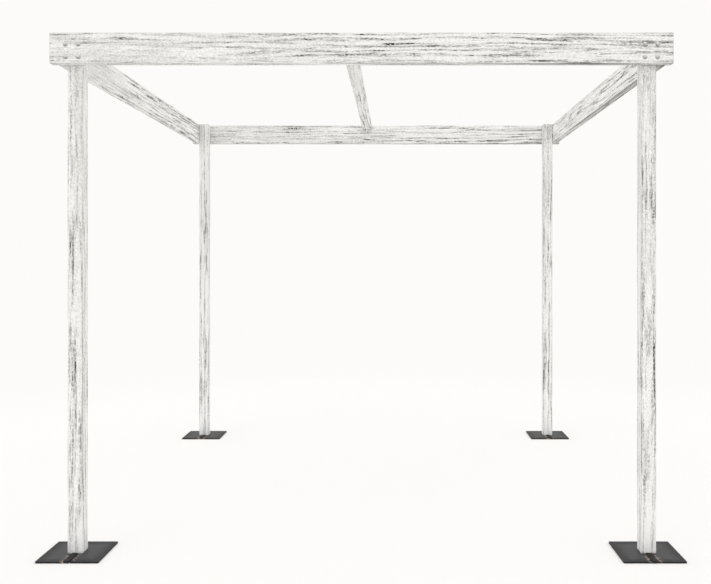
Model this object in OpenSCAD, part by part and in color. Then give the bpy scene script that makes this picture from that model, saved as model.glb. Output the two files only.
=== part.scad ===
// Open-frame timber cabana: four posts on steel base plates, a ring of four beams and one rafter.
// X runs across the front, Y from front to back, Z up; the origin is on the ground at the centre.

/* [Frame] */
// Length of the front and back beams
beam_length = 3000; // [2000:10:4000]
// Depth over the outer faces of the front and back beams
frame_depth = 3000; // [2000:10:4000]
// Length of each post, from the base plate to the top of the beams
post_length = 2520; // [1800:10:3000]
// How far the front and back beams run past the outer faces of the posts
beam_overhang = 70; // [60:1:200]

/* [Timber] */
// Side of the square posts
post_side = 75; // [60:1:120]
// Height of the beams
beam_height = 150; // [100:1:240]
// Thickness of the beams
beam_thickness = 45; // [30:1:60]
// Width of the rafter, which lies flat
rafter_width = 75; // [40:1:120]
// Thickness of the rafter
rafter_thickness = 35; // [20:1:60]
// Place of the rafter, to the right of the centre line
rafter_place = -70; // [-600:5:600]
// Rounding of the timber edges
arris = 4; // [1:0.5:8]

/* [Rafter joint] */
// How deep the rafter ends are let into the front and back beams
housing_depth = 20; // [10:1:28]

/* [Feet] */
// Side of the square base plates
plate_side = 300; // [200:5:500]
// Thickness of the base plates
plate_thickness = 8; // [4:0.5:20]
// Rounding of the base plate corners
plate_corner = 5; // [1:0.5:20]
// Width of the bent flat bar that holds the foot of the post
tongue_width = 28; // [20:1:50]
// Thickness of that flat bar
tongue_thickness = 5; // [3:0.5:8]
// How far the flat bar stands up inside the post
tongue_rise = 160; // [80:5:300]
// Inner radius of the bend in the flat bar
tongue_bend = 5; // [2:0.5:10]

/* [Fits] */
// Clearance around a piece that slides into another
slip = 0.3; // [0.1:0.05:1]

/* [Hidden] */
$fn = 48;

frame_top = plate_thickness + post_length;
post_outer_x = beam_length / 2 - beam_overhang;
post_x = post_outer_x - post_side / 2;
beam_inner_y = frame_depth / 2 - beam_thickness;
post_y = beam_inner_y - post_side / 2;

whitewash = "#dedcd8";
black_steel = "#3c3c3c";
dark_steel = "#262625";

// A rectangle about the origin with its four corners rounded
module rounded_rectangle(width, height, radius) {
    square([width - 2 * radius, height], center = true);
    square([width, height - 2 * radius], center = true);
    for (x = [-1, 1], y = [-1, 1])
        translate([x * (width / 2 - radius), y * (height / 2 - radius)]) circle(radius);
}

// A sawn timber along +Z from the origin, with its long edges eased
module timber(width, height, length) {
    linear_extrude(length) rounded_rectangle(width, height, arris);
}

// Turns a timber that stands along Z so that it lies along X, its width becoming the height
module lying_along_x() {
    rotate([0, 90, 0]) children();
}

// Turns a timber that stands along Z so that it lies along Y, its height staying upright
module lying_along_y() {
    rotate([-90, 0, 0]) children();
}

// The rafter, or with room around it the housing that takes it
module rafter_bar(room) {
    reach = beam_inner_y + housing_depth - slip + room;
    translate([rafter_place, -reach, frame_top - rafter_thickness / 2])
        lying_along_y()
            if (room == 0) timber(rafter_width, rafter_thickness, 2 * reach);
            else linear_extrude(2 * reach) square([rafter_width + 2 * room, rafter_thickness], center = true);
}

// side is -1 for the front beam and 1 for the back beam
module cross_beam(side) {
    color(whitewash) difference() {
        translate([-beam_length / 2, side * (beam_inner_y + beam_thickness / 2), frame_top - beam_height / 2])
            lying_along_x() timber(beam_height, beam_thickness, beam_length);
        rafter_bar(slip);
    }
}

// side is -1 for the left beam and 1 for the right beam
module side_beam(side) {
    color(whitewash)
        translate([side * (post_outer_x + beam_thickness / 2), -beam_inner_y, frame_top - beam_height / 2])
            lying_along_y() timber(beam_thickness, beam_height, 2 * beam_inner_y);
}

module centre_rafter() {
    color(whitewash) rafter_bar(0);
}

// Outline of the bent flat bar seen from its side, standing on y = 0 with its upright about x = 0.
// With room, it is the outline of the slot that takes the bar.
module tongue_outline(room) {
    half = tongue_thickness / 2;
    inner = tongue_bend - room;
    outer = tongue_bend + tongue_thickness + room;
    bend_x = -half - tongue_bend;
    bend_y = tongue_thickness + tongue_bend;
    foot_start = -plate_side / 2;
    translate([-half - room, bend_y]) square([tongue_thickness + 2 * room, tongue_rise - bend_y + room]);
    translate([foot_start, -room]) square([bend_x - foot_start, tongue_thickness + 2 * room]);
    intersection() {
        difference() {
            translate([bend_x, bend_y]) circle(outer);
            translate([bend_x, bend_y]) circle(inner);
        }
        translate([bend_x, bend_y - outer]) square(outer);
    }
}

// The bent flat bar at the foot of the post at that corner, or with room the slot for it
module tongue_bar(corner, room) {
    translate([corner[0] * post_x - tongue_width / 2 - room, corner[1] * post_y, plate_thickness])
        rotate([90, 0, 90]) linear_extrude(tongue_width + 2 * room) tongue_outline(room);
}

// corner is [-1 or 1, -1 or 1] for left or right and front or back
module post(corner) {
    color(whitewash) difference() {
        translate([corner[0] * post_x, corner[1] * post_y, plate_thickness])
            timber(post_side, post_side, post_length);
        tongue_bar(corner, slip);
    }
}

module base_plate(corner) {
    color(black_steel)
        translate([corner[0] * post_x, corner[1] * post_y, 0])
            linear_extrude(plate_thickness) rounded_rectangle(plate_side, plate_side, plate_corner);
}

module foot_tongue(corner) {
    color(dark_steel) tongue_bar(corner, 0);
}

front_left = [-1, -1];
front_right = [1, -1];
back_left = [-1, 1];
back_right = [1, 1];

cross_beam(-1);  // front_beam
cross_beam(1);  // back_beam
side_beam(-1);  // left_beam
side_beam(1);  // right_beam
centre_rafter();
post(front_left);  // front_left_post
post(front_right);  // front_right_post
post(back_left);  // back_left_post
post(back_right);  // back_right_post
base_plate(front_left);  // front_left_base_plate
base_plate(front_right);  // front_right_base_plate
base_plate(back_left);  // back_left_base_plate
base_plate(back_right);  // back_right_base_plate
foot_tongue(front_left);  // front_left_foot_tongue
foot_tongue(front_right);  // front_right_foot_tongue
foot_tongue(back_left);  // back_left_foot_tongue
foot_tongue(back_right);  // back_right_foot_tongue
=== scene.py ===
# %% [markdown]
# # An open-frame timber cabana
# Four square posts on black steel plates carry a ring of four deep beams, and one flat rafter crosses the
# middle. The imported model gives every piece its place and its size, in metres, with the ground at z = 0
# and the front towards -Y. This lesson adds what the eye sees: rough-sawn timber under a worn whitewash,
# the screws that hold the beams, and the black steel of the feet.

# %% Load the frame
import math

import bmesh
import bpy
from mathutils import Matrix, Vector


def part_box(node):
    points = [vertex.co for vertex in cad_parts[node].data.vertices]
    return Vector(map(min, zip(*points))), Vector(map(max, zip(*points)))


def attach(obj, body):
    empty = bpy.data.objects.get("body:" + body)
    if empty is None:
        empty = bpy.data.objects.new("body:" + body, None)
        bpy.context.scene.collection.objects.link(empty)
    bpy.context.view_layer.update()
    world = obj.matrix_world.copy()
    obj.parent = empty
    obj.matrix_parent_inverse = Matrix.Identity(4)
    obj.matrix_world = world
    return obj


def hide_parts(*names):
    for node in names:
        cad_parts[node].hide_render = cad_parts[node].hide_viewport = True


MM = 0.001
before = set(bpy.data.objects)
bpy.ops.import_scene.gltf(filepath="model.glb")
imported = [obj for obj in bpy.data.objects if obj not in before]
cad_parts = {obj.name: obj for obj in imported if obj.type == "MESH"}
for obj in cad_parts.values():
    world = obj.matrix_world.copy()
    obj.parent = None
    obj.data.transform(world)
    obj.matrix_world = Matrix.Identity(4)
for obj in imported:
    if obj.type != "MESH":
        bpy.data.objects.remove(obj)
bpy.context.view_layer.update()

# %% [markdown]
# ## The camera
# In the picture every upright stays upright, the beams across the front and the back are level, and all
# the lines that run back meet at one point. So the camera stood level and looked straight along +Y, and
# the picture was framed by shifting the lens, not by turning the camera. The focal length and the place
# of the camera come from the sizes of the front and the back of the frame in the picture.

# %% Camera
IMAGE_WIDTH = 711
IMAGE_HEIGHT = 584
VANISHING_X = 396.7
VANISHING_Y = 258.1
FOCAL_PIXELS = 875.3
CAMERA_PLACE = (0.169, -5.704, 1.4435)

camera_data = bpy.data.cameras.new("camera")
camera_data.sensor_fit = "HORIZONTAL"
camera_data.lens = camera_data.sensor_width * FOCAL_PIXELS / IMAGE_WIDTH
camera_data.shift_x = (IMAGE_WIDTH / 2 - VANISHING_X) / IMAGE_WIDTH
camera_data.shift_y = (VANISHING_Y - IMAGE_HEIGHT / 2) / IMAGE_WIDTH
camera = bpy.data.objects.new("camera", camera_data)
camera.location = CAMERA_PLACE
camera.rotation_euler = (math.pi / 2, 0, 0)
bpy.context.scene.collection.objects.link(camera)
bpy.context.scene.camera = camera
print("lens", round(camera_data.lens, 2), "mm")
print("shift", round(camera_data.shift_x, 4), round(camera_data.shift_y, 4))

# %% [markdown]
# ## Helpers for node trees
# Shader trees and geometry trees are built the same way, so one helper serves both. It adds a node, sets
# its properties, and fills its inputs. Colours are written as the sRGB hex values that a paint chart
# gives, and one function turns them to the linear values that Blender needs.

# %% Node and colour helpers
MATH = "ShaderNodeMath"
VECTOR_MATH = "ShaderNodeVectorMath"
MAP_RANGE = "ShaderNodeMapRange"
SEPARATE_XYZ = "ShaderNodeSeparateXYZ"
NOISE = "ShaderNodeTexNoise"
MIX = "ShaderNodeMix"
COORDINATES = "ShaderNodeTexCoord"
ATTRIBUTE = "ShaderNodeAttribute"
BUMP = "ShaderNodeBump"
PRINCIPLED = "ShaderNodeBsdfPrincipled"
MATERIAL_OUTPUT = "ShaderNodeOutputMaterial"
# The setting that makes the step of a Map Range node a soft one
SOFT = {"interpolation_type": "SMOOTHSTEP"}


def add_node(tree, kind, inputs=None, **settings):
    """Adds a node. Among its inputs, a node or a socket is linked, and anything else is a plain value."""
    made = tree.nodes.new(kind)
    for name, value in settings.items():
        setattr(made, name, value)
    for key, value in (inputs or {}).items():
        if isinstance(value, bpy.types.Node):
            value = next(socket for socket in value.outputs if socket.enabled)
        if isinstance(value, bpy.types.NodeSocket):
            tree.links.new(value, made.inputs[key])
        else:
            made.inputs[key].default_value = value
    return made


def linear(hex_colour):
    """An sRGB hex value as linear red, green, blue and alpha."""
    shares = [int(hex_colour[place : place + 2], 16) / 255 for place in (1, 3, 5)]
    return tuple(s / 12.92 if s <= 0.04045 else ((s + 0.055) / 1.055) ** 2.4 for s in shares) + (1.0,)


def new_material(name):
    material = bpy.data.materials.new(name)
    material.use_nodes = True
    material.node_tree.nodes.clear()
    return material, material.node_tree


def lay_coats(tree, ground, coats):
    """Lays each colour over the ones before it, by its own share."""
    colour = linear(ground)
    for hex_colour, share in coats:
        coat = {"Factor": share, "A": colour, "B": linear(hex_colour)}
        colour = add_node(tree, MIX, coat, data_type="RGBA")
    return colour


print("the hex grey #808080 is", round(linear("#808080")[0], 3), "in linear light")

# %% [markdown]
# ## One grain for the eye and for the hand
# Rough-sawn softwood that has stood outdoors opens along its growth rings. On a sawn face the rings show
# as long, nearly straight lines, and where they have opened they are grooves, which hold dirt and lose
# their whitewash. The grooves could be bump alone, but then the timber's outline and its mesh would be
# smooth. So one function adds the pattern to any tree: the geometry tree carves it into the mesh, and the
# shader paints the same grooves dark, and the two agree. A ring lies at a fixed distance from the pith of
# the log, and noise that is stretched along the timber makes it wander and breaks it into dashes. The
# butt end of a timber, which grew nearest the root, has opened more than its top end.

# %% Grain patterns
# An open ring is 2 or 3 mm wide, half a pixel here, so the rings are drawn wider and further apart.
RING_SPACING = 23 * MM
RING_EDGE = 6.2 * MM
RING_CORE = 2.4 * MM
# A groove's depth is raised to this power at each end of a timber. A low one opens faint rings too.
POWER_AT_TOP = 1.15
POWER_AT_BUTT = 0.6
# How a ring wanders: the length and the width of each bend, and its reach
RING_BENDS = [(1000 * MM, 60 * MM, 75 * MM), (220 * MM, 20 * MM, 22 * MM), (16 * MM, 6 * MM, 3.5 * MM)]
# What breaks a ring: the length, width and detail of a noise, where in it the ring starts and is whole,
# and the share that is left of the ring elsewhere
RING_BREAKS = [
    (170 * MM, 11 * MM, 3.0, 0.40, 0.55, 0.15),
    (550 * MM, 70 * MM, 2.0, 0.36, 0.62, 0.25),
    (60 * MM, 9 * MM, 4.0, 0.38, 0.66, 0.35),
    (12 * MM, 6 * MM, 2.0, 0.38, 0.54, 0.2),
]


def stretched_noise(tree, grain, along, across, detail=2.0):
    """Noise in patches about this long and this wide, in metres, on the timber's own coordinates."""
    stretch = (1 / along, 1 / across, 1 / across)
    scaled = add_node(tree, VECTOR_MATH, {0: grain, 1: stretch}, operation="MULTIPLY")
    return add_node(tree, NOISE, {"Vector": scaled, "Scale": 1.0, "Detail": detail})


def open_grain(tree, grain, toward_butt):
    """1 in the open grooves of the weathered grain, 0 on sound timber."""
    around = add_node(tree, VECTOR_MATH, {0: grain, 1: (0.0, 1.0, 1.0)}, operation="MULTIPLY")
    radius = add_node(tree, VECTOR_MATH, {0: around}, operation="LENGTH")
    for along, across, reach in RING_BENDS:
        bend = stretched_noise(tree, grain, along, across)
        radius = add_node(tree, MATH, {0: bend, 1: reach, 2: radius}, operation="MULTIPLY_ADD")
    from_ring = add_node(tree, MATH, {0: radius, 1: RING_SPACING / 2}, operation="PINGPONG")
    opening = {"Value": from_ring, "From Min": RING_EDGE, "From Max": RING_CORE}
    groove = add_node(tree, MAP_RANGE, opening, **SOFT)
    for along, across, detail, start, whole, left in RING_BREAKS:
        noise = stretched_noise(tree, grain, along, across, detail)
        breaking = {"Value": noise, "From Min": start, "From Max": whole, "To Min": left}
        share = add_node(tree, MAP_RANGE, breaking, **SOFT)
        groove = add_node(tree, MATH, {0: groove, 1: share}, operation="MULTIPLY")
    powers = {"Value": toward_butt, "To Min": POWER_AT_TOP, "To Max": POWER_AT_BUTT}
    power = add_node(tree, MAP_RANGE, powers)
    return add_node(tree, MATH, {0: groove, 1: power}, operation="POWER")


print("the rings are", RING_SPACING / MM, "mm apart, with", len(RING_BREAKS), "kinds of break")

# %% [markdown]
# ## Whitewashed sawn softwood
# The wash is lime-white, thin and dead matt. It is speckled by the sawn fibres, cloudy where it went on
# thin, and grey wood shows through it in streaks. The open grooves are dark with old dirt. It is rubbed
# along the arrises, most of all towards the butt of a timber. Shade is painted along the underside and
# the lower edge of each beam, more of it towards the right of the frame. The feet of the posts are
# painted paler, as a second coat that hides part of the dirt too and as painted light that lifts the
# shade near the black plates. One painted picture of all this would stretch, and repeat from timber to
# timber, so each sign of age, and the painted shade and light, is a pattern of noise at its real size.
# The patterns read attributes that the geometry tree stores on each timber: `grain` holds the timber's
# own coordinates with x along the wood, so that the streaks run along every timber whichever way it lies,
# and the others say how far a point is from the edges and from the butt.

# %% Patterns in the wash
# Each pattern has the length, width and detail of a noise, and where in it a soft step starts and ends.
WASH_CLOUDS = (300 * MM, 60 * MM, 3.0, 0.34, 0.62)
# Sawn fibres are under a millimetre wide, which no pixel could show, so they are drawn 6 mm wide.
WASH_SPECKLE = (9 * MM, 6 * MM, 2.0, 0.42, 0.66)
# The speckle is this strong everywhere, and this much stronger in the middle of a cloud.
SPECKLE_LEAST = 0.4
SPECKLE_IN_CLOUD = 0.30
WASH_STREAKS = (300 * MM, 14 * MM, 4.0, 0.53, 0.62)
# What dots a streak, as the sawn fibres do
STREAK_DOTS = (18 * MM, 7 * MM, 2.0, 0.34, 0.58)
# The length and the width of the bends in a streak, and their reach
STREAK_BENDS = (220 * MM, 25 * MM)
STREAK_REACH = 22 * MM


def soft_patches(tree, grain, pattern, most=1.0):
    """A share from 0 to `most`, in soft patches of noise."""
    along, across, detail, start, end = pattern
    noise = stretched_noise(tree, grain, along, across, detail)
    step = {"Value": noise, "From Min": start, "From Max": end, "To Max": most}
    return add_node(tree, MAP_RANGE, step, **SOFT)


def wash_speckle(tree, grain, clouds):
    """Dots of the sawn fibres, strongest where the wash is cloudy."""
    stronger = {0: clouds, 1: SPECKLE_IN_CLOUD, 2: SPECKLE_LEAST}
    most = add_node(tree, MATH, stronger, operation="MULTIPLY_ADD")
    return soft_patches(tree, grain, WASH_SPECKLE, most)


def wash_streaks(tree, grain, most):
    """Streaks of grey wood that wander along the grain and break into dots."""
    wander = stretched_noise(tree, grain, *STREAK_BENDS).outputs["Color"]
    sideways = {0: wander, 1: (0.0, STREAK_REACH, STREAK_REACH), 2: grain}
    bent = add_node(tree, VECTOR_MATH, sideways, operation="MULTIPLY_ADD")
    dots = soft_patches(tree, grain, STREAK_DOTS, most)
    return soft_patches(tree, bent, WASH_STREAKS, dots)


print("the wash has clouds", round(WASH_CLOUDS[0] / MM), "mm long")
print("and a speckle", round(WASH_SPECKLE[1] / MM), "mm wide")

# %% Wear, dirt and painted shade
RUBBED_ARRIS = (160 * MM, 25 * MM, 3.0, 0.42, 0.62)
# The noise of the shade painted under the beams
UNDERSIDE_SHADE_PATCHES = (500 * MM, 80 * MM, 4.0, 0.32, 0.56)
# How far the rubbing and the painted underside shade reach from an arris, and how far that shade rises
# from the underside
RUBBED_WIDTH = 9 * MM
UNDERSIDE_SHADE_WIDTH = 45 * MM
UNDERSIDE_SHADE_RISE = 6 * MM
# The shade painted under the beams grows from here to here along X, up to this share.
UNDERSIDE_SHADE_STARTS = -0.8
UNDERSIDE_SHADE_FULL = 1.1
UNDERSIDE_SHADE_MOST = 0.62
# Dirt fills a groove before it is at its deepest.
DIRT_GAIN = 1.15
# The part of the dirt that the paler paint on the feet hides, partly as painted light near the black
# plates
DIRT_HIDDEN = 0.55


def old_dirt(tree, grain, toward_butt, paler_feet):
    """Dirt in the open grooves, thinner on the feet under the paler second coat, which is partly painted
    light that lifts the shade near the black plates.
    """
    grooves = open_grain(tree, grain, toward_butt)
    filled = add_node(tree, MATH, {0: grooves, 1: DIRT_GAIN}, operation="MULTIPLY", use_clamp=True)
    bared = add_node(tree, MATH, {0: paler_feet, 1: -DIRT_HIDDEN, 2: 1.0}, operation="MULTIPLY_ADD")
    return add_node(tree, MATH, {0: filled, 1: bared}, operation="MULTIPLY")


def rubbed_arrises(tree, grain, from_arris, most):
    """Patches along the arrises where the wash is rubbed thin."""
    patches = soft_patches(tree, grain, RUBBED_ARRIS, most)
    fading = {"Value": from_arris, "From Min": RUBBED_WIDTH, "From Max": 0.0, "To Max": patches}
    return add_node(tree, MAP_RANGE, fading, **SOFT)


def painted_underside_shade(tree, grain, across_frame, from_arris, from_underside):
    """Painted shade in patches along the undersides and lower edges of the beams, stronger towards +X."""
    shade_along_x = {"Value": across_frame, "From Min": UNDERSIDE_SHADE_STARTS, "From Max": UNDERSIDE_SHADE_FULL, "To Max": UNDERSIDE_SHADE_MOST}
    shade_most_here = add_node(tree, MAP_RANGE, shade_along_x)
    patches = soft_patches(tree, grain, UNDERSIDE_SHADE_PATCHES, shade_most_here)
    fading = {"Value": from_arris, "From Min": UNDERSIDE_SHADE_WIDTH, "From Max": 0.0, "To Max": patches}
    hanging = add_node(tree, MAP_RANGE, fading, **SOFT)
    rising = {"Value": from_underside, "From Min": UNDERSIDE_SHADE_RISE, "From Max": 0.0, "To Max": hanging}
    return add_node(tree, MAP_RANGE, rising, **SOFT)


print("the arrises are rubbed", round(RUBBED_WIDTH / MM), "mm wide")
print("and the painted shade hangs", round(UNDERSIDE_SHADE_WIDTH / MM), "mm from them")

# %% Timber finish
# How strong each sign of age is at the top end of a timber and at its butt, and the share of the way by
# which it gets there
AGE_ALONG = {"clouds": (1.0, 0.25, 0.6), "streaks": (0.40, 0.75, 1.0), "rubbing": (0.3, 0.7, 1.0)}
# The wood of a cut end shows as far as this round the arris, at this share.
CUT_END = 2 * MM
CUT_END_SHARE = 0.6
# The feet are painted paler: a second coat, and painted light that lifts the shade near the black plates.
# It starts at this height and is whole, at this share, from the lower one down.
PALER_FEET_TOP = 450 * MM
PALER_FEET_WHOLE = 60 * MM
PALER_FEET_SHARE = 0.75


def whitewashed_timber():
    """Lime wash on sawn softwood: near white and dead matt, with grey wood where it is worn."""
    material, tree = new_material("whitewashed_sawn_softwood")
    grain = add_node(tree, ATTRIBUTE, attribute_name="grain").outputs["Vector"]
    stored = {}
    for name in ("from_end", "from_arris", "from_underside", "toward_butt"):
        stored[name] = add_node(tree, ATTRIBUTE, attribute_name=name).outputs["Fac"]
    place = add_node(tree, COORDINATES).outputs["Object"]
    places = add_node(tree, SEPARATE_XYZ, {0: place}).outputs
    age = {}
    for sign, (at_top, at_butt, by) in AGE_ALONG.items():
        ends = {"Value": stored["toward_butt"], "From Max": by, "To Min": at_top, "To Max": at_butt}
        age[sign] = add_node(tree, MAP_RANGE, ends)

    clouds = soft_patches(tree, grain, WASH_CLOUDS, age["clouds"])
    speckle = wash_speckle(tree, grain, clouds)
    streaks = wash_streaks(tree, grain, age["streaks"])
    fresh = {"Value": stored["from_end"], "From Min": CUT_END, "From Max": 0.0, "To Max": CUT_END_SHARE}
    cut_end = add_node(tree, MAP_RANGE, fresh, **SOFT)
    rubbed = rubbed_arrises(tree, grain, stored["from_arris"], age["rubbing"])
    # The feet are painted paler, partly as painted light that lifts the shade near the black plates.
    low_down = {"Value": places["Z"], "From Min": PALER_FEET_TOP, "From Max": PALER_FEET_WHOLE}
    paler_feet = add_node(tree, MAP_RANGE, {**low_down, "To Max": PALER_FEET_SHARE}, **SOFT)
    dirt = old_dirt(tree, grain, stored["toward_butt"], paler_feet)
    shaded_underside = painted_underside_shade(tree, grain, places["X"], stored["from_arris"], stored["from_underside"])
    coats = [
        ("#e3e2e0", clouds),
        ("#bfbcb8", speckle),
        ("#8f8b88", streaks),
        ("#c4beb6", cut_end),
        ("#9d9995", rubbed),
        # Paler feet, partly painted light
        ("#f8f8f6", paler_feet),
        ("#2b2624", dirt),
        # Painted shade along the undersides of the beams
        ("#48433f", shaded_underside),
    ]
    colour = lay_coats(tree, "#f4f4f2", coats)
    bump = add_node(tree, BUMP, {"Strength": 0.4, "Distance": 0.8 * MM, "Height": speckle})
    matt = {"Base Color": colour, "Roughness": 0.88, "IOR": 1.45, "Specular IOR Level": 0.3}
    surface = add_node(tree, PRINCIPLED, {**matt, "Normal": bump})
    add_node(tree, MATERIAL_OUTPUT, {"Surface": surface})
    return material


timber_finish = whitewashed_timber()
print("made", timber_finish.name, "with", len(timber_finish.node_tree.nodes), "nodes")

# %% [markdown]
# ## The timbers
# Nine sawn timbers make the frame: four beams, four posts and a rafter. Each one could be a box with a
# bevel and a bump map, but a close look at the real wood shows soft arrises and grooves that break the
# edges. The shape follows a rule, so one geometry tree makes them all: a fine grid box, whose edges are
# rounded by pushing each point out from the box's core by the arris radius, and whose skin is then sunk
# along the open grain. The rafter is let into the front and back beams, so the tree can first cut a
# housing in the box.

# %% The blank of a timber
TIMBER_INPUTS = {
    "Length": "NodeSocketFloat",
    "Width": "NodeSocketFloat",
    "Height": "NodeSocketFloat",
    "Arris": "NodeSocketFloat",
    "Step Along": "NodeSocketFloat",
    "Step Across": "NodeSocketFloat",
    "Groove Depth": "NodeSocketFloat",
    "Unevenness": "NodeSocketFloat",
    "Grain Shift": "NodeSocketVector",
    "Turn": "NodeSocketVector",
    "Place": "NodeSocketVector",
    "Underside Shade": "NodeSocketBool",
    "Housed": "NodeSocketBool",
    "Housing Size": "NodeSocketVector",
    "Housing Place": "NodeSocketVector",
    "Finish": "NodeSocketMaterial",
}


def group_inputs(tree, sockets):
    """Adds the tree's named inputs and its one output, and returns the input node's sockets by name."""
    for name, kind in sockets.items():
        tree.interface.new_socket(name=name, in_out="INPUT", socket_type=kind)
    tree.interface.new_socket(name="Geometry", in_out="OUTPUT", socket_type="NodeSocketGeometry")
    return tree.nodes.new("NodeGroupInput").outputs


def grid_box(tree, given, size):
    """A box of this size whose faces are grids, with about the given steps between their lines."""
    counts = []
    for side, step in (("Length", "Step Along"), ("Width", "Step Across"), ("Height", "Step Across")):
        shares = add_node(tree, MATH, {0: given[side], 1: given[step]}, operation="DIVIDE")
        whole = add_node(tree, MATH, {0: shares}, operation="CEIL")
        counts.append(add_node(tree, MATH, {0: whole, 1: 1.0}, operation="ADD"))
    inputs = {"Size": size, "Vertices X": counts[0], "Vertices Y": counts[1], "Vertices Z": counts[2]}
    return add_node(tree, "GeometryNodeMeshCube", inputs)


def cut_housing(tree, given, box):
    """The box with the housing for the rafter cut out, where the timber is housed."""
    cutter = add_node(tree, "GeometryNodeMeshCube", {"Size": given["Housing Size"]})
    there = add_node(tree, "GeometryNodeTransform", {0: cutter, "Translation": given["Housing Place"]})
    shapes = {"Mesh 1": box, "Mesh 2": there}
    cut = add_node(tree, "GeometryNodeMeshBoolean", shapes, operation="DIFFERENCE")
    inputs = {"Switch": given["Housed"], "False": box, "True": cut}
    return add_node(tree, "GeometryNodeSwitch", inputs, input_type="GEOMETRY")


print("a timber is set by", len(TIMBER_INPUTS), "inputs")

# %% The skin of a timber
# A distance that no painted underside shade reaches, for the timbers that have none
OUT_OF_REACH = 1.0
# The length and the width of the swells that the saw left
SAW_SWELL = (260 * MM, 30 * MM)
# The ends were cut with a fine saw, so the relief fades to this share over this distance.
END_RELIEF = 0.2
END_FADE = 50 * MM


def edge_distances(tree, given, place, half):
    """How far a point of the skin is from each kind of edge, and its share of the way to the butt."""
    folded = add_node(tree, VECTOR_MATH, {0: place}, operation="ABSOLUTE")
    inside = add_node(tree, VECTOR_MATH, {0: half, 1: folded}, operation="SUBTRACT")
    from_sides = add_node(tree, SEPARATE_XYZ, {0: inside}).outputs
    # A point of the skin lies on one side of the box, so its arris is as far as the next nearest side.
    nearer = add_node(tree, MATH, {0: from_sides["X"], 1: from_sides["Y"]}, operation="MINIMUM")
    further = add_node(tree, MATH, {0: from_sides["X"], 1: from_sides["Y"]}, operation="MAXIMUM")
    capped = add_node(tree, MATH, {0: further, 1: from_sides["Z"]}, operation="MINIMUM")
    from_arris = add_node(tree, MATH, {0: nearer, 1: capped}, operation="MAXIMUM")
    from_corner = add_node(tree, VECTOR_MATH, {0: place, 1: half}, operation="ADD")
    offsets = add_node(tree, SEPARATE_XYZ, {0: from_corner}).outputs
    hanging = {"Switch": given["Underside Shade"], "False": OUT_OF_REACH, "True": offsets["Z"]}
    from_underside = add_node(tree, "GeometryNodeSwitch", hanging, input_type="FLOAT")
    toward_butt = add_node(tree, MATH, {0: offsets["X"], 1: given["Length"]}, operation="DIVIDE")
    return {
        "from_end": from_sides["X"],
        "from_arris": from_arris,
        "from_underside": from_underside,
        "toward_butt": toward_butt,
    }


def carved_skin(tree, given, place, half, grain, distances):
    """Where a point of the box goes: onto the rounded arrises, and down into the open grain."""
    core_high = add_node(tree, VECTOR_MATH, {0: half, 1: given["Arris"]}, operation="SUBTRACT")
    core_low = add_node(tree, VECTOR_MATH, {0: core_high, "Scale": -1.0}, operation="SCALE")
    below_high = add_node(tree, VECTOR_MATH, {0: place, 1: core_high}, operation="MINIMUM")
    core = add_node(tree, VECTOR_MATH, {0: below_high, 1: core_low}, operation="MAXIMUM")
    outward = add_node(tree, VECTOR_MATH, {0: place, 1: core}, operation="SUBTRACT")
    facing = add_node(tree, VECTOR_MATH, {0: outward}, operation="NORMALIZE")

    grooves = open_grain(tree, grain, distances["toward_butt"])
    sunk = add_node(tree, MATH, {0: grooves, 1: given["Groove Depth"]}, operation="MULTIPLY")
    swell = stretched_noise(tree, grain, *SAW_SWELL)
    relief = add_node(tree, MATH, {0: swell, 1: given["Unevenness"], 2: sunk}, operation="MULTIPLY_ADD")
    fading = {"Value": distances["from_end"], "From Max": END_FADE, "To Min": END_RELIEF}
    from_cut = add_node(tree, MAP_RANGE, fading, **SOFT)
    faded = add_node(tree, MATH, {0: relief, 1: from_cut}, operation="MULTIPLY")
    reach = add_node(tree, MATH, {0: given["Arris"], 1: faded}, operation="SUBTRACT")
    skin = add_node(tree, VECTOR_MATH, {0: facing, "Scale": reach}, operation="SCALE")
    return add_node(tree, VECTOR_MATH, {0: core, 1: skin}, operation="ADD")


print("the relief fades to", END_RELIEF, "over the last", END_FADE / MM, "mm of a timber")

# %% Timber tree
# Edges that turn more than this stay sharp, such as those of the housings.
SHARP_TURN = math.radians(50)


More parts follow.
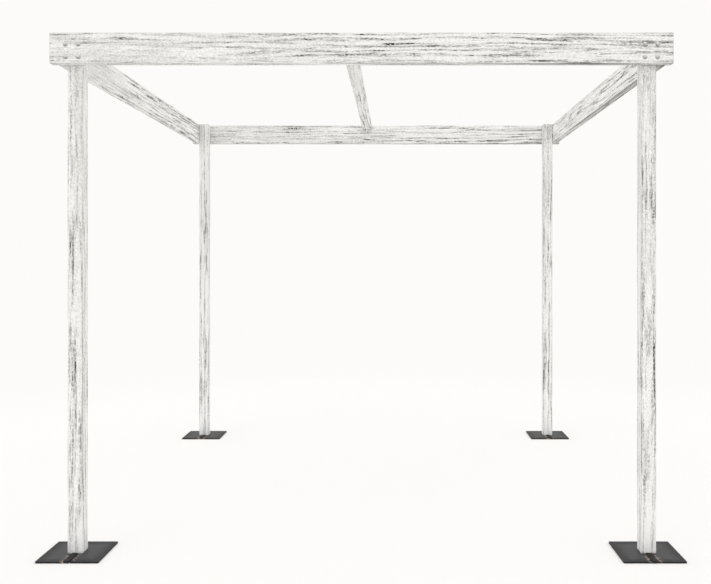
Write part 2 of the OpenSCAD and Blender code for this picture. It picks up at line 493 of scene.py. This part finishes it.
def sawn_timber_tree():
    tree = bpy.data.node_groups.new("sawn_timber", "GeometryNodeTree")
    given = group_inputs(tree, TIMBER_INPUTS)
    sides = {"X": given["Length"], "Y": given["Width"], "Z": given["Height"]}
    size = add_node(tree, "ShaderNodeCombineXYZ", sides)
    half = add_node(tree, VECTOR_MATH, {0: size, "Scale": 0.5}, operation="SCALE")
    blank = cut_housing(tree, given, grid_box(tree, given, size))

    place = add_node(tree, "GeometryNodeInputPosition")
    shifted = add_node(tree, VECTOR_MATH, {0: place, 1: given["Grain Shift"]}, operation="ADD")
    distances = edge_distances(tree, given, place, half)
    stored = {"grain": ("FLOAT_VECTOR", shifted)}
    stored.update({name: ("FLOAT", distance) for name, distance in distances.items()})
    marked = blank
    for name, (kind, value) in stored.items():
        inputs = {0: marked, "Name": name, "Value": value}
        marked = add_node(tree, "GeometryNodeStoreNamedAttribute", inputs, data_type=kind, domain="POINT")

    grain = add_node(tree, "GeometryNodeInputNamedAttribute", {"Name": "grain"}, data_type="FLOAT_VECTOR")
    skin = carved_skin(tree, given, place, half, grain, distances)
    carved = add_node(tree, "GeometryNodeSetPosition", {0: marked, "Position": skin})
    smooth = add_node(tree, "GeometryNodeSetShadeSmooth", {0: carved}, domain="FACE")
    turn = add_node(tree, "GeometryNodeInputMeshEdgeAngle").outputs["Unsigned Angle"]
    is_sharp = add_node(tree, "FunctionNodeCompare", {0: turn, 1: SHARP_TURN}, operation="GREATER_THAN")
    creases = {0: smooth, "Selection": is_sharp, "Shade Smooth": False}
    creased = add_node(tree, "GeometryNodeSetShadeSmooth", creases, domain="EDGE")
    lay = {0: creased, "Translation": given["Place"], "Rotation": given["Turn"]}
    laid = add_node(tree, "GeometryNodeTransform", lay)
    whole = add_node(tree, "GeometryNodeRealizeInstances", {0: laid})
    finished = add_node(tree, "GeometryNodeSetMaterial", {0: whole, "Material": given["Finish"]})
    add_node(tree, "NodeGroupOutput", {0: finished})
    return tree


timber_tree = sawn_timber_tree()
print("made the", timber_tree.name, "tree with", len(timber_tree.nodes), "nodes")

# %% [markdown]
# A tree runs as a modifier. Its inputs are set by their identifiers before the object is first evaluated.
# The evaluated result is then kept as a plain mesh.

# %% Run a tree
def run_tree(name, tree, values):
    """A new piece, whose mesh is what the tree makes of these values."""
    piece = bpy.data.objects.new(name, bpy.data.meshes.new(name))
    bpy.context.scene.collection.objects.link(piece)
    grown = piece.modifiers.new(tree.name, "NODES")
    grown.node_group = tree
    for socket in tree.interface.items_tree:
        if socket.in_out == "INPUT":
            grown[socket.identifier] = values[socket.name]
    depsgraph = bpy.context.evaluated_depsgraph_get()
    evaluated = piece.evaluated_get(depsgraph)
    mesh = bpy.data.meshes.new_from_object(evaluated, preserve_all_data_layers=True, depsgraph=depsgraph)
    piece.modifiers.clear()
    piece.data = mesh
    mesh.name = name
    mesh.calc_loop_triangles()
    print("made", name, "with", len(mesh.loop_triangles), "triangles")
    return piece


# %% How the timbers lie
# The tree makes every timber along X with its butt at +X, and a turn lays it as it lies in the frame.
BUTT_RIGHT = (0.0, 0.0, 0.0)
BUTT_BACK = (0.0, 0.0, math.pi / 2)
BUTT_FRONT = (0.0, 0.0, -math.pi / 2)
BUTT_DOWN = (0.0, math.pi / 2, 0.0)
# Where the turned timber's own Y and Z lie in the frame, by the axis that it lies along
ACROSS_AXES = {0: (1, 2), 1: (0, 2), 2: (1, 0)}
BEAMS = ["front_beam", "back_beam", "left_beam", "right_beam"]
HOUSED = ["front_beam", "back_beam"]
CORNERS = ["front_left", "front_right", "back_left", "back_right"]
# How each timber lies, and how many metres along the logs, laid end to end, it was sawn. The places were
# chosen for the look of the grain.
TIMBERS = {
    "front_beam": (BUTT_RIGHT, 240.0),
    "back_beam": (BUTT_RIGHT, 644.3),
    "left_beam": (BUTT_BACK, 248.6),
    "right_beam": (BUTT_FRONT, 532.9),
    "centre_rafter": (BUTT_BACK, 177.2),
    "front_left_post": (BUTT_DOWN, 461.5),
    "front_right_post": (BUTT_DOWN, 105.8),
    "back_left_post": (BUTT_DOWN, 70.1),
    "back_right_post": (BUTT_DOWN, 874.4),
}
# How far from the pith the first timber was sawn, across and up, and the steps to the next, in metres
FIRST_CUT = (0.15, 0.20)
CUT_STEPS = (0.02, 0.015)
CUTS_UP = 4
# The housing fits the rafter with a little room, more past its end, and is open at the top.
HOUSING_ROOM = Vector((0.3, 1.3, 0.3)) * MM
OPEN_TOP = Vector((0, 0, 10)) * MM
rafter_low, rafter_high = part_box("centre_rafter")
housing_low = rafter_low - HOUSING_ROOM
housing_high = rafter_high + HOUSING_ROOM + OPEN_TOP
housing_size = housing_high - housing_low
print("the housings are", round(housing_size.x / MM, 1), "by", round(housing_size.z / MM, 1), "mm")

# %% Make the timbers
ARRIS = 4 * MM
STEP_ALONG = 10 * MM
STEP_ACROSS = 2.5 * MM
GROOVE_DEPTH = 2.0 * MM
UNEVENNESS = 1.2 * MM


def place_in_log(number, along):
    """Where in the log this timber was sawn: each one at another distance from the pith."""
    across = FIRST_CUT[0] + CUT_STEPS[0] * number
    up = FIRST_CUT[1] + CUT_STEPS[1] * (number % CUTS_UP)
    return (along, across, up)


def make_timber(number, node):
    low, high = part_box(node)
    middle = (low + high) / 2
    size = high - low
    axis = max(range(3), key=lambda place: size[place])
    across, up = ACROSS_AXES[axis]
    turn, along = TIMBERS[node]
    values = {
        "Length": size[axis],
        "Width": size[across],
        "Height": size[up],
        "Arris": ARRIS,
        "Step Along": STEP_ALONG,
        "Step Across": STEP_ACROSS,
        "Groove Depth": GROOVE_DEPTH,
        "Unevenness": UNEVENNESS,
        "Grain Shift": place_in_log(number, along),
        "Turn": turn,
        "Place": tuple(middle),
        "Underside Shade": node in BEAMS,
        "Housed": node in HOUSED,
        "Housing Size": tuple(housing_size),
        "Housing Place": tuple((housing_low + housing_high) / 2 - middle),
        "Finish": timber_finish,
    }
    piece = run_tree(node + "_timber", timber_tree, values)
    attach(piece, "root")
    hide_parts(node)


for number, node in enumerate(TIMBERS):
    make_timber(number, node)

# %% [markdown]
# ## Coach screws
# The beams are fixed to the posts by coach screws with domed heads, four at each crossing. A dome could
# be a squashed sphere, but a forged head has a thin upright rim and then a low crown. One head is turned
# from its profile, and a geometry tree sets a copy at every screw: a line from post to post carries a 2
# by 2 grid, and the grid's corners carry the heads. The heads are whitewashed, and the tree also stores
# how far each point faces up, so that the finish paints the underside of each dome a dull grey, as
# painted shade.

# %% Screw finish
SHADE_EDGE_NOISE = 9 * MM
# Noise shifts the border of the painted shade by up to this much.
SHADE_EDGE_REACH = 0.8
# With that shift, how far up a point faces where it is in full painted shade and where it is fully lit
FACING_SHADED = -0.25
FACING_LIT = 0.85


def washed_zinc_with_painted_shade():
    """Whitewashed galvanised steel: lime-white, with painted shade in dull grey on the underside of each
    dome.
    """
    material, tree = new_material("whitewashed_galvanised_steel")
    place = add_node(tree, COORDINATES).outputs["Object"]
    facing_up = add_node(tree, ATTRIBUTE, attribute_name="facing_up").outputs["Fac"]
    edge_noise = add_node(tree, NOISE, {"Vector": place, "Scale": 1 / SHADE_EDGE_NOISE, "Detail": 3.0})
    ragged = add_node(tree, MATH, {0: edge_noise, 1: SHADE_EDGE_REACH, 2: facing_up}, operation="MULTIPLY_ADD")
    shade_range = {"Value": ragged, "From Min": FACING_LIT, "From Max": FACING_SHADED}
    painted_shade = add_node(tree, MAP_RANGE, shade_range, **SOFT)
    # The dull grey on the underside of each dome is painted shade.
    colour = lay_coats(tree, "#d8d6d2", [("#938e89", painted_shade)])
    dull = {"Base Color": colour, "Roughness": 0.65, "IOR": 1.5, "Specular IOR Level": 0.35}
    surface = add_node(tree, PRINCIPLED, dull)
    add_node(tree, MATERIAL_OUTPUT, {"Surface": surface})
    return material


screw_finish = washed_zinc_with_painted_shade()
print("made", screw_finish.name)

# %% Screw head
HEAD_RADIUS = 11 * MM
HEAD_RIM = 1.5 * MM
HEAD_CROWN = 5 * MM
HEAD_SIDES = 24
CROWN_RINGS = 5


def coach_screw_head():
    """A domed head about +Z, standing on z = 0 and closed underneath."""
    mesh = bpy.data.meshes.new("coach_screw_head")
    shape = bmesh.new()
    profile = [(HEAD_RADIUS, 0.0), (HEAD_RADIUS, HEAD_RIM)]
    for ring in range(1, CROWN_RINGS):
        lean = math.pi / 2 * ring / CROWN_RINGS
        profile.append((HEAD_RADIUS * math.cos(lean), HEAD_RIM + HEAD_CROWN * math.sin(lean)))
    angles = [2 * math.pi * side / HEAD_SIDES for side in range(HEAD_SIDES)]
    rings = []
    for radius, height in profile:
        places = [(radius * math.cos(angle), radius * math.sin(angle), height) for angle in angles]
        rings.append([shape.verts.new(place) for place in places])
    top = shape.verts.new((0, 0, HEAD_RIM + HEAD_CROWN))
    for side in range(HEAD_SIDES):
        after = (side + 1) % HEAD_SIDES
        for lower, upper in zip(rings, rings[1:]):
            shape.faces.new((lower[side], lower[after], upper[after], upper[side]))
        shape.faces.new((rings[-1][side], rings[-1][after], top))
    shape.faces.new(list(reversed(rings[0])))
    for face in shape.faces:
        face.smooth = len(face.verts) < HEAD_SIDES
    shape.to_mesh(mesh)
    shape.free()
    head = bpy.data.objects.new("coach_screw_head", mesh)
    bpy.context.scene.collection.objects.link(head)
    return head


head = coach_screw_head()
print("one screw head has", len(head.data.polygons), "faces")

# %% Screw tree
SCREW_INPUTS = {
    "Head": "NodeSocketObject",
    "First Post": "NodeSocketVector",
    "Last Post": "NodeSocketVector",
    "Columns Apart": "NodeSocketFloat",
    "Rows Apart": "NodeSocketFloat",
    "Turn": "NodeSocketVector",
    "Finish": "NodeSocketMaterial",
}


def coach_screw_tree():
    tree = bpy.data.node_groups.new("coach_screws", "GeometryNodeTree")
    given = group_inputs(tree, SCREW_INPUTS)
    ends = {"Count": 2, "Start Location": given["First Post"], "Offset": given["Last Post"]}
    posts = add_node(tree, "GeometryNodeMeshLine", ends, mode="END_POINTS")
    grid = {"Size X": given["Columns Apart"], "Size Y": given["Rows Apart"]}
    corners = add_node(tree, "GeometryNodeMeshGrid", {**grid, "Vertices X": 2, "Vertices Y": 2})
    one = add_node(tree, "GeometryNodeObjectInfo", {"Object": given["Head"]}).outputs["Geometry"]
    four = add_node(tree, "GeometryNodeInstanceOnPoints", {0: corners, "Instance": one})
    turned = {0: posts, "Instance": four, "Rotation": given["Turn"]}
    at_posts = add_node(tree, "GeometryNodeInstanceOnPoints", turned)
    whole = add_node(tree, "GeometryNodeRealizeInstances", {0: at_posts})
    normal = add_node(tree, "GeometryNodeInputNormal")
    upward = add_node(tree, SEPARATE_XYZ, {0: normal}).outputs["Z"]
    inputs = {0: whole, "Name": "facing_up", "Value": upward}
    marked = add_node(tree, "GeometryNodeStoreNamedAttribute", inputs, data_type="FLOAT", domain="POINT")
    finished = add_node(tree, "GeometryNodeSetMaterial", {0: marked, "Material": given["Finish"]})
    add_node(tree, "NodeGroupOutput", {0: finished})
    return tree


screw_tree = coach_screw_tree()
print("made the", screw_tree.name, "tree with", len(screw_tree.nodes), "nodes")

# %% Set the screws
COLUMNS_APART = 61 * MM
ROWS_APART = 61 * MM
# How far below the top of a beam the middle of its four screws lies. Those of the side beams sit higher,
# so that they pass the others inside the post.
CROSS_BEAM_DROP = 87 * MM
SIDE_BEAM_DROP = 58 * MM
# The heads stand on the carved skin, which lies a little inside the beam's box.
SKIN_DEPTH = 1.0 * MM
# Each beam's two posts, the drop of its screws, the axis and the side that its outer face looks along,
# and the heading that turns the upright grid of screws to that face
BEAM_SCREWS = {
    "front_beam": ("front_left_post", "front_right_post", CROSS_BEAM_DROP, 1, -1, 0.0),
    "back_beam": ("back_left_post", "back_right_post", CROSS_BEAM_DROP, 1, 1, math.pi),
    "left_beam": ("front_left_post", "back_left_post", SIDE_BEAM_DROP, 0, -1, -math.pi / 2),
    "right_beam": ("front_right_post", "back_right_post", SIDE_BEAM_DROP, 0, 1, math.pi / 2),
}


def screw_place(beam, post, drop, axis, side):
    """The centre of the four screws where this beam crosses this post, on the beam's outer face."""
    post_low, post_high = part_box(post)
    beam_low, beam_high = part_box(beam)
    place = (post_low + post_high) / 2
    place[axis] = (beam_high if side > 0 else beam_low)[axis] - side * SKIN_DEPTH
    place.z = beam_high.z - drop
    return tuple(place)


for beam, (first, last, drop, axis, side, heading) in BEAM_SCREWS.items():
    values = {
        "Head": head,
        "First Post": screw_place(beam, first, drop, axis, side),
        "Last Post": screw_place(beam, last, drop, axis, side),
        "Columns Apart": COLUMNS_APART,
        "Rows Apart": ROWS_APART,
        "Turn": (math.pi / 2, 0.0, heading),
        "Finish": screw_finish,
    }
    piece = run_tree(beam + "_screws", screw_tree, values)
    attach(piece, "root")
bpy.data.objects.remove(head)

# %% [markdown]
# ## Black steel
# The feet are hot-rolled steel under a satin black powder coat. The middle of each plate is painted a
# lighter dark grey than its black border, as a painted sheen, and pale specks the colour of rust are
# painted beside the welds as a painted highlight. The flat bars kept their mill scale under the coat, so
# they are darker and duller. One plain black would do from far off, but it would make the plates look
# like holes in the floor. So the coat has its texture and its painted sheen, and the sheen follows the
# border of each plate, by a UV map that holds the place of every point in metres from the middle of its
# piece.

# %% Plate finish
# The middle of each plate is painted lighter than its border, as a painted sheen. These set the border's
# width and the size of the noise on its inner edge.
PLATE_BORDER = 45 * MM
SHEEN_EDGE_SIZE = 40 * MM
# The size of the pale specks painted beside each bar as a highlight
HIGHLIGHT_SPECK = 12 * MM
# How far the specks of painted highlight reach from the edge of the bar
HIGHLIGHT_REACH = 28 * MM
# Where in the noise a speck of painted highlight starts and is whole
HIGHLIGHT_STARTS = 0.50
HIGHLIGHT_WHOLE = 0.60
# The orange peel of a powder coat is about 2 mm across, drawn at 4 mm so that it shows.
ORANGE_PEEL = 4 * MM
plate_low, plate_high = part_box("front_left_base_plate")
PLATE_HALF = (plate_high.x - plate_low.x) / 2
bar_low, bar_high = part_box("front_left_foot_tongue")
BAR_HALF = (bar_high.x - bar_low.x) / 2


def painted_sheen_border(tree, place, furthest):
    """1 along the edges of the plate, which are painted darker than the painted sheen in the middle, with
    a ragged inner edge.
    """
    border_noise = add_node(tree, NOISE, {"Vector": place, "Scale": 1 / SHEEN_EDGE_SIZE, "Detail": 4.0})
    ragged = add_node(tree, MATH, {0: border_noise, 1: PLATE_BORDER, 2: furthest}, operation="MULTIPLY_ADD")
    inner = PLATE_HALF - PLATE_BORDER
    outer = PLATE_HALF + PLATE_BORDER / 2
    return add_node(tree, MAP_RANGE, {"Value": ragged, "From Min": inner, "From Max": outer}, **SOFT)


def painted_highlight_specks(tree, place, own, from_middle):
    """Pale rust-coloured specks of painted highlight beside the bar, which lies ahead of the post,
    towards -Y, on every plate.
    """
    specks = add_node(tree, NOISE, {"Vector": place, "Scale": 1 / HIGHLIGHT_SPECK, "Detail": 1.0})
    ahead = add_node(tree, SEPARATE_XYZ, {0: own}).outputs["Y"]
    before_post = add_node(tree, MAP_RANGE, {"Value": ahead, "From Min": 0.0, "From Max": -PLATE_BORDER})
    close = {"Value": from_middle, "From Min": BAR_HALF + HIGHLIGHT_REACH, "From Max": BAR_HALF}
    beside_bar = add_node(tree, MAP_RANGE, {**close, "To Max": before_post}, **SOFT)
    speckled = {"Value": specks, "From Min": HIGHLIGHT_STARTS, "From Max": HIGHLIGHT_WHOLE, "To Max": beside_bar}
    return add_node(tree, MAP_RANGE, speckled, **SOFT)


def satin_black_plate():
    """Powder coat on rolled plate: satin black, painted lighter grey in the middle as a sheen, with pale
    specks of painted highlight beside the welds.
    """
    material, tree = new_material("satin_black_powder_coat")
    place = add_node(tree, COORDINATES).outputs["Object"]
    own = add_node(tree, "ShaderNodeUVMap", uv_map="own_place")
    reach = add_node(tree, VECTOR_MATH, {0: own}, operation="ABSOLUTE")
    reaches = add_node(tree, SEPARATE_XYZ, {0: reach}).outputs
    furthest = add_node(tree, MATH, {0: reaches["X"], 1: reaches["Y"]}, operation="MAXIMUM")
    border = painted_sheen_border(tree, place, furthest)
    highlight_specks = painted_highlight_specks(tree, place, own, reaches["X"])
    # The lighter grey ground is a painted sheen, and the pale specks are a painted highlight.
    colour = lay_coats(tree, "#414142", [("#1a1a1b", border), ("#b3a094", highlight_specks)])
    peel = add_node(tree, NOISE, {"Vector": place, "Scale": 1 / ORANGE_PEEL, "Detail": 2.0})
    bump = add_node(tree, BUMP, {"Strength": 0.3, "Distance": 0.1 * MM, "Height": peel})
    satin = {"Base Color": colour, "Roughness": 0.55, "IOR": 1.5, "Specular IOR Level": 0.28}
    surface = add_node(tree, PRINCIPLED, {**satin, "Normal": bump})
    add_node(tree, MATERIAL_OUTPUT, {"Surface": surface})
    return material


plate_finish = satin_black_plate()
print("made", plate_finish.name, "for plates with a half side of", round(PLATE_HALF / MM), "mm")

# %% Bar finish
MILL_SCALE = 15 * MM
# Where in the noise the scale is thin and where it is worn through
SCALE_THIN = 0.35
SCALE_WORN = 0.65


def dark_flat_bar():
    """Hot-rolled flat bar with its mill scale under the same coat, darker and duller than the plate."""
    material, tree = new_material("mill_scale_flat_bar")
    place = add_node(tree, COORDINATES).outputs["Object"]
    scale = add_node(tree, NOISE, {"Vector": place, "Scale": 1 / MILL_SCALE, "Detail": 5.0})
    wearing = {"Value": scale, "From Min": SCALE_THIN, "From Max": SCALE_WORN}
    worn = add_node(tree, MAP_RANGE, wearing, **SOFT)
    colour = lay_coats(tree, "#1b1a19", [("#2a2926", worn)])
    bump = add_node(tree, BUMP, {"Strength": 0.4, "Distance": 0.2 * MM, "Height": scale})
    dull = {"Base Color": colour, "Roughness": 0.65, "IOR": 1.5, "Specular IOR Level": 0.25}
    surface = add_node(tree, PRINCIPLED, {**dull, "Normal": bump})
    add_node(tree, MATERIAL_OUTPUT, {"Surface": surface})
    return material


bar_finish = dark_flat_bar()
print("made", bar_finish.name)

# %% [markdown]
# ## Steel feet
# Each post stands on a square of rolled plate. A flat bar is welded to it, which runs in from the front
# edge and turns up into the post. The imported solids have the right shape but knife-sharp edges. They
# could be built again with round edges, but a copy already lies where it should: its triangles are merged
# into a closed mesh, the flat ones are joined, and a small bevel eases its edges, so that they catch a
# line of light. The UV map that the plate finish reads is laid on each mesh here.

# %% Ease the edges of the steel
EASED_EDGE = 0.8 * MM
EASED_STEPS = 2
MERGE_DISTANCE = 0.01 * MM
# Triangles that meet flatter than this are joined.
FLAT_TURN = math.radians(1)
# Edges that turn more than this are eased.
EASED_TURN = math.radians(40)


def eased_steel(node, finish):
    low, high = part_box(node)
    middle = (low + high) / 2
    shape = bmesh.new()
    shape.from_mesh(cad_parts[node].data)
    bmesh.ops.remove_doubles(shape, verts=shape.verts, dist=MERGE_DISTANCE)
    bmesh.ops.dissolve_limit(shape, angle_limit=FLAT_TURN, verts=shape.verts, edges=shape.edges)
    own_place = shape.loops.layers.uv.new("own_place")
    for face in shape.faces:
        for loop in face.loops:
            loop[own_place].uv = (loop.vert.co - middle).xy
    mesh = bpy.data.meshes.new(node + "_steel")
    shape.to_mesh(mesh)
    shape.free()
    mesh.materials.clear()
    mesh.materials.append(finish)
    piece = bpy.data.objects.new(node + "_steel", mesh)
    bpy.context.scene.collection.objects.link(piece)
    bevel = piece.modifiers.new("eased_edges", "BEVEL")
    bevel.width = EASED_EDGE
    bevel.segments = EASED_STEPS
    bevel.angle_limit = EASED_TURN
    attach(piece, "root")
    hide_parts(node)


for corner in CORNERS:
    eased_steel(corner + "_base_plate", plate_finish)
    eased_steel(corner + "_foot_tongue", bar_finish)
print("eased the edges of", 2 * len(CORNERS), "steel pieces")

# %% [markdown]
# ## Weld beads
# A fillet weld runs along both edges of each flat bar, from the edge of the plate to the post. A plain
# rod would be too smooth: a hand-laid bead swells and narrows with every small puddle of metal. A
# geometry tree draws a line, gives it a radius that swells at an even pitch, sweeps a circle along it,
# and sets a copy at each edge of the bar.

# %% Weld tree
WELD_INPUTS = {
    "Left Start": "NodeSocketVector",
    "Right Start": "NodeSocketVector",
    "Length": "NodeSocketFloat",
    "Bead Radius": "NodeSocketFloat",
    "Bead Sides": "NodeSocketInt",
    "Puddle Pitch": "NodeSocketFloat",
    "Swell": "NodeSocketFloat",
    "Step": "NodeSocketFloat",
    "Finish": "NodeSocketMaterial",
}


def weld_bead_tree():
    tree = bpy.data.node_groups.new("weld_beads", "GeometryNodeTree")
    given = group_inputs(tree, WELD_INPUTS)
    run = add_node(tree, "ShaderNodeCombineXYZ", {"Y": given["Length"]})
    line = add_node(tree, "GeometryNodeCurvePrimitiveLine", {"End": run})
    steps = {0: line, "Length": given["Step"]}
    stepped = add_node(tree, "GeometryNodeResampleCurve", steps, mode="LENGTH")
    along = add_node(tree, "GeometryNodeSplineParameter").outputs["Length"]
    puddle = add_node(tree, MATH, {0: along, 1: given["Puddle Pitch"]}, operation="DIVIDE")
    share = add_node(tree, MATH, {0: puddle}, operation="FRACT")
    # Each puddle is widest at its start and falls away to the next.
    narrowing = add_node(tree, MATH, {0: share, 1: given["Swell"]}, operation="MULTIPLY")
    radius = add_node(tree, MATH, {0: 1.0, 1: narrowing}, operation="SUBTRACT")
    swollen = add_node(tree, "GeometryNodeSetCurveRadius", {0: stepped, "Radius": radius})
    circle = {"Resolution": given["Bead Sides"], "Radius": given["Bead Radius"]}
    profile = add_node(tree, "GeometryNodeCurvePrimitiveCircle", circle, mode="RADIUS")
    sweep = {0: swollen, "Profile Curve": profile, "Fill Caps": True}
    bead = add_node(tree, "GeometryNodeCurveToMesh", sweep)
    smooth = add_node(tree, "GeometryNodeSetShadeSmooth", {0: bead}, domain="FACE")
    ends = {"Count": 2, "Start Location": given["Left Start"], "Offset": given["Right Start"]}
    edges = add_node(tree, "GeometryNodeMeshLine", ends, mode="END_POINTS")
    both = add_node(tree, "GeometryNodeInstanceOnPoints", {0: edges, "Instance": smooth})
    whole = add_node(tree, "GeometryNodeRealizeInstances", {0: both})
    finished = add_node(tree, "GeometryNodeSetMaterial", {0: whole, "Material": given["Finish"]})
    add_node(tree, "NodeGroupOutput", {0: finished})
    return tree


weld_tree = weld_bead_tree()
print("made the", weld_tree.name, "tree with", len(weld_tree.nodes), "nodes")

# %% Lay the welds
BEAD_RADIUS = 3 * MM
BEAD_SIDES = 12
PUDDLE_PITCH = 3.5 * MM
PUDDLE_SWELL = 0.25
BEAD_STEP = 0.6 * MM
# The bead starts a little inside the edge of the plate, and stops short of the post.
BEAD_MARGIN = 5 * MM

for corner in CORNERS:
    bar_low, bar_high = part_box(corner + "_foot_tongue")
    post_low, post_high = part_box(corner + "_post")
    start_y = bar_low.y + BEAD_MARGIN
    values = {
        "Left Start": (bar_low.x, start_y, bar_low.z),
        "Right Start": (bar_high.x, start_y, bar_low.z),
        "Length": post_low.y - BEAD_MARGIN - start_y,
        "Bead Radius": BEAD_RADIUS,
        "Bead Sides": BEAD_SIDES,
        "Puddle Pitch": PUDDLE_PITCH,
        "Swell": PUDDLE_SWELL,
        "Step": BEAD_STEP,
        "Finish": bar_finish,
    }
    piece = run_tree(corner + "_foot_welds", weld_tree, values)
    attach(piece, "root")

# %% [markdown]
# ## Floor, light and background
# The frame stands on a plain pale floor in soft light. Seen by the camera, the world is the same
# near-white as the floor, and the floor fades to that colour with distance, so no horizon shows. A
# brighter lamp could bleach the background too, but it would bleach the whitewash with it. The floor
# stays a lit surface near the frame, so it keeps the soft shadows of the feet. One broad sun from the
# upper left gives the timbers a lit side, and the world fills the rest.

# %% World
BACKGROUND = linear("#fdfbf9")
FILL_COLOUR = linear("#ffffff")
FILL_STRENGTH = 1.09


def background_rays(tree):
    """1 for the rays that see the background: from the camera, from a gloss and through glass."""
    path = add_node(tree, "ShaderNodeLightPath").outputs
    eye = add_node(tree, MATH, {0: path["Is Camera Ray"], 1: path["Is Glossy Ray"]}, operation="MAXIMUM")
    return add_node(tree, MATH, {0: eye, 1: path["Is Transmission Ray"]}, operation="MAXIMUM")


def pale_world():
    world = bpy.data.worlds.new("pale_studio")
    world.use_nodes = True
    tree = world.node_tree
    tree.nodes.clear()
    fill = add_node(tree, "ShaderNodeBackground", {"Color": FILL_COLOUR, "Strength": FILL_STRENGTH})
    seen = add_node(tree, "ShaderNodeBackground", {"Color": BACKGROUND, "Strength": 1.0})
    chosen = add_node(tree, "ShaderNodeMixShader", {0: background_rays(tree), 1: fill, 2: seen})
    add_node(tree, "ShaderNodeOutputWorld", {"Surface": chosen})
    return world


bpy.context.scene.world = pale_world()
print("the world fills the shade at a strength of", FILL_STRENGTH)

# %% Floor
FLOOR_COLOUR = linear("#f5f3f1")
FLOOR_SIZE = 80.0
FADE_START = 3.0
FADE_END = 6.0


def pale_floor():
    """Matt pale paint that fades to the background away from the frame."""
    material, tree = new_material("pale_matt_floor")
    place = add_node(tree, COORDINATES).outputs["Object"]
    distance = add_node(tree, VECTOR_MATH, {0: place}, operation="LENGTH")
    fading = {"Value": distance, "From Min": FADE_START, "From Max": FADE_END}
    far = add_node(tree, MAP_RANGE, fading, **SOFT)
    lit = add_node(tree, "ShaderNodeBsdfDiffuse", {"Color": FLOOR_COLOUR})
    seen = add_node(tree, "ShaderNodeEmission", {"Color": BACKGROUND, "Strength": 1.0})
    fade = add_node(tree, MATH, {0: far, 1: background_rays(tree)}, operation="MULTIPLY")
    mixed = add_node(tree, "ShaderNodeMixShader", {0: fade, 1: lit, 2: seen})
    add_node(tree, MATERIAL_OUTPUT, {"Surface": mixed})
    return material


floor_mesh = bpy.data.meshes.new("floor")
floor_shape = bmesh.new()
bmesh.ops.create_grid(floor_shape, x_segments=1, y_segments=1, size=FLOOR_SIZE / 2)
floor_shape.to_mesh(floor_mesh)
floor_shape.free()
floor_mesh.materials.append(pale_floor())
floor = bpy.data.objects.new("floor", floor_mesh)
bpy.context.scene.collection.objects.link(floor)
print("the floor fades to the background from", FADE_START, "to", FADE_END, "m")

# %% Sun
SUN_STRENGTH = 0.10
SUN_ANGLE = math.radians(50)
SUN_TURN = (math.radians(48), 0.0, math.radians(-28))

sun_data = bpy.data.lights.new("soft_sun", "SUN")
sun_data.energy = SUN_STRENGTH
sun_data.angle = SUN_ANGLE
sun = bpy.data.objects.new("soft_sun", sun_data)
sun.rotation_euler = SUN_TURN
bpy.context.scene.collection.objects.link(sun)
bpy.context.scene.view_settings.view_transform = "Standard"
print("the sun has a strength of", SUN_STRENGTH, "over", round(math.degrees(SUN_ANGLE)), "degrees")
